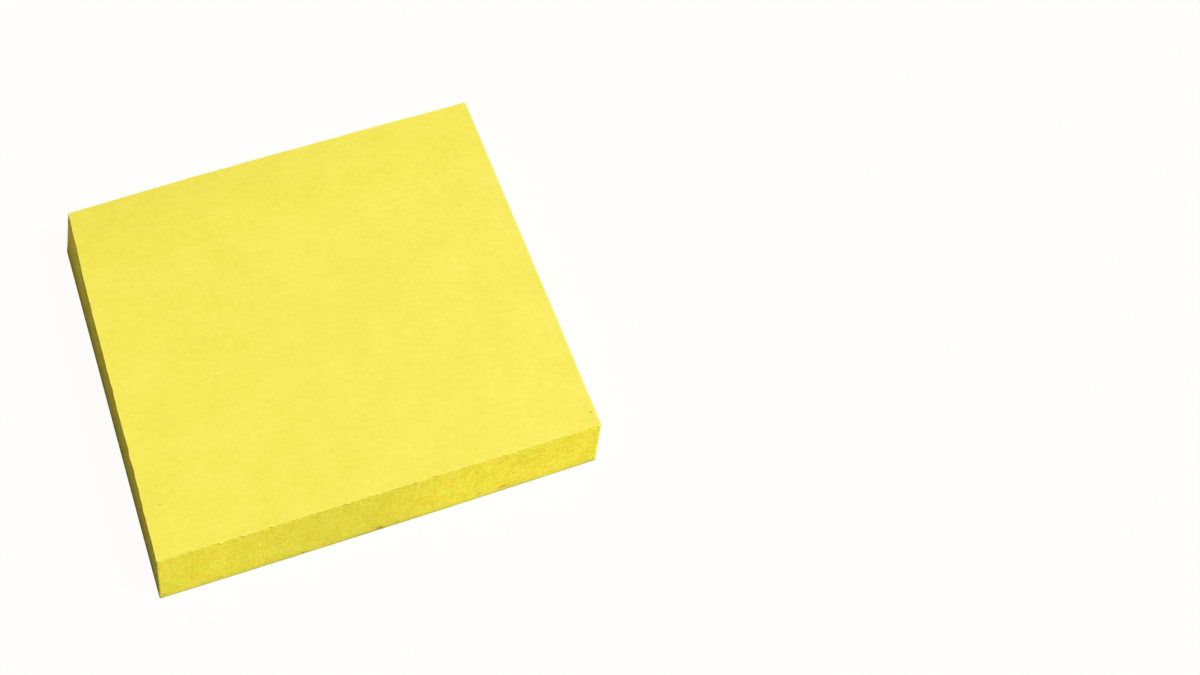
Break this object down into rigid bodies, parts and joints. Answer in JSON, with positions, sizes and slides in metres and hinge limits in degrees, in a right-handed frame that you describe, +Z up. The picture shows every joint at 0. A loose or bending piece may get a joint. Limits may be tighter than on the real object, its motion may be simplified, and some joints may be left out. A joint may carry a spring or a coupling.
{
  "type": "sticky note pad",
  "caption": "Square block of yellow sticky notes, glued along the back edge, on a plain white release sheet.",
  "frame": {"origin": "centre of the underside, on the surface that the pad lies on", "axes": "+Z up through the writing face, +Y towards the glued back edge, +X to the right as the notes are written on"},
  "size_m": [0.0781, 0.0779, 0.0088],
  "materials": {
    "yellow_paper": "matt uncoated paper",
    "release_paper": "matt paper with a release coating on its upper side"
  },
  "bodies": {
    "root": {"note_sheets": "yellow_paper", "backing_sheet": "release_paper"}
  },
  "joints": []
}
